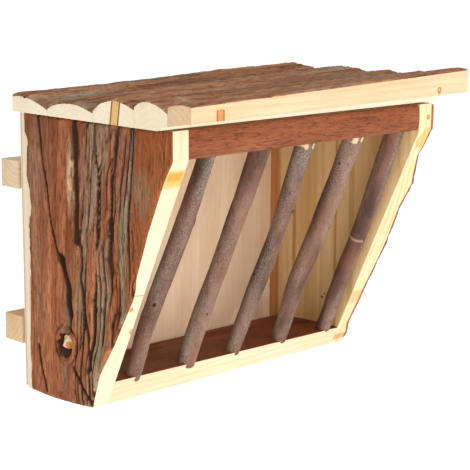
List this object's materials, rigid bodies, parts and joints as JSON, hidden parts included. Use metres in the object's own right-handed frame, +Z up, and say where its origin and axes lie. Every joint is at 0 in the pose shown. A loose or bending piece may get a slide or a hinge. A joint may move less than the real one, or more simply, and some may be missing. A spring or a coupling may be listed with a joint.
{
  "type": "hay rack feeder",
  "caption": "Hay rack of split bark-covered wood with slanted twig bars, a hinged filling lid and battens with wing nuts that clamp it to cage wire.",
  "frame": {"origin": "on the back panel's rear face, where the cage wire lies, centred on the body's width and midway between the two clamp battens", "axes": "+Z up; -Y the front with the bars, so +Y points through the cage wire; +X to the right seen from the front"},
  "size_m": [0.2068, 0.172, 0.1672],
  "materials": {
    "bark_wood": "rough bark outside, sawn pale wood on the cut faces",
    "twig": "thin smooth bark",
    "cut_wood": "sawn, untreated softwood",
    "plywood": "sanded, untreated plywood",
    "zinc_steel": "bright zinc"
  },
  "bodies": {
    "rack": {"left_side": "bark_wood", "right_side": "bark_wood", "back_panel": "plywood", "bottom_plank": "bark_wood", "front_rail": "bark_wood", "rod_1": "twig", "rod_2": "twig", "rod_3": "twig", "rod_4": "twig", "rod_5": "twig", "hinge_left_fixed_leaf": "zinc_steel", "hinge_right_fixed_leaf": "zinc_steel", "hinge_left_pin": "zinc_steel", "hinge_right_pin": "zinc_steel", "fixed_leaf_screws": "zinc_steel", "panel_nails": "zinc_steel", "side_pins": "zinc_steel", "clamp_bolts": "zinc_steel"},
    "lid": {"lid_slat_1": "bark_wood", "lid_slat_2": "bark_wood", "lid_slat_3": "bark_wood", "lid_slat_4": "bark_wood", "lid_front_plank": "cut_wood", "lid_cleat_left": "cut_wood", "lid_cleat_right": "cut_wood", "cleat_nails": "zinc_steel", "hinge_left_lid_leaf": "zinc_steel", "hinge_right_lid_leaf": "zinc_steel", "lid_leaf_screws": "zinc_steel"},
    "upper_clamp": {"upper_batten": "cut_wood", "upper_washers": "zinc_steel"},
    "lower_clamp": {"lower_batten": "cut_wood", "lower_washers": "zinc_steel"},
    "nut_1": {"wing_nut_1": "zinc_steel"},
    "nut_2": {"wing_nut_2": "zinc_steel"},
    "nut_3": {"wing_nut_3": "zinc_steel"},
    "nut_4": {"wing_nut_4": "zinc_steel"}
  },
  "joints": [
    {"name": "lid_hinge", "type": "hinge", "parent": "rack", "child": "lid", "pos_m": [0, 0.0018, 0.074], "axis": [-1, 0, 0], "range_deg": [0, 105]},
    {"name": "upper_clamp_slide", "type": "slide", "parent": "rack", "child": "upper_clamp", "axis": [0, 1, 0], "range_m": [0, 0.006]},
    {"name": "lower_clamp_slide", "type": "slide", "parent": "rack", "child": "lower_clamp", "axis": [0, 1, 0], "range_m": [0, 0.006]},
    {"name": "wing_nut_1_turn", "type": "hinge", "parent": "upper_clamp", "child": "nut_1", "pos_m": [-0.071, 0.0174, 0.0415], "axis": [0, 1, 0], "continuous": true},
    {"name": "wing_nut_2_turn", "type": "hinge", "parent": "upper_clamp", "child": "nut_2", "pos_m": [0.071, 0.0174, 0.0415], "axis": [0, 1, 0], "continuous": true},
    {"name": "wing_nut_3_turn", "type": "hinge", "parent": "lower_clamp", "child": "nut_3", "pos_m": [-0.071, 0.0174, -0.0415], "axis": [0, 1, 0], "continuous": true},
    {"name": "wing_nut_4_turn", "type": "hinge", "parent": "lower_clamp", "child": "nut_4", "pos_m": [0.071, 0.0174, -0.0415], "axis": [0, 1, 0], "continuous": true}
  ]
}
